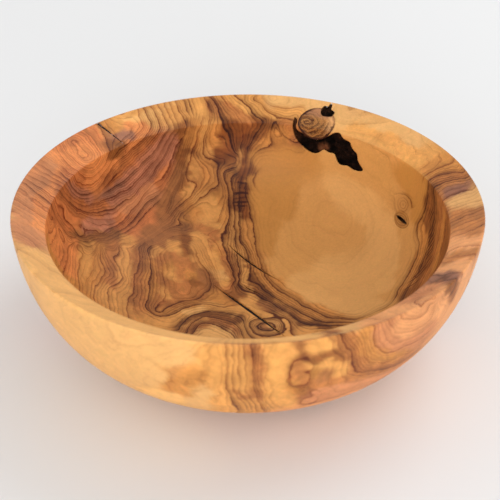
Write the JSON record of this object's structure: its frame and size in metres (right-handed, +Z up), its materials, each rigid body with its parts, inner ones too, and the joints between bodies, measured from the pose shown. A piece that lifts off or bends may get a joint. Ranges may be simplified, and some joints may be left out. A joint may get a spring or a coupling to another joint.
{
  "type": "yarn bowl",
  "caption": "Round turned olive-wood bowl that holds a ball of yarn, with a wide inward-sloping rim, a dead knot with bark pockets, and filled drying cracks.",
  "frame": {"origin": "centre of the ring that the bowl stands on, in its resting plane", "axes": "+Z up along the turning axis; -Y towards the viewer, with the rim knot at the back right"},
  "size_m": [0.25, 0.25, 0.0819],
  "materials": {
    "olive_wood": "oiled, fine satin",
    "knot_wood": "oiled, fine satin",
    "bark": "rough, unfinished",
    "crack_fill": "dark, glossy"
  },
  "bodies": {
    "root": {"bowl_body": "olive_wood", "rim_knot": "knot_wood", "wall_knot": "knot_wood", "knot_bark_lower": "bark", "knot_bark_upper": "bark", "rim_crack_fill": "crack_fill", "floor_crack_fill_upper": "crack_fill", "floor_crack_fill_lower": "crack_fill", "floor_crack_fill_link": "crack_fill"}
  },
  "joints": []
}
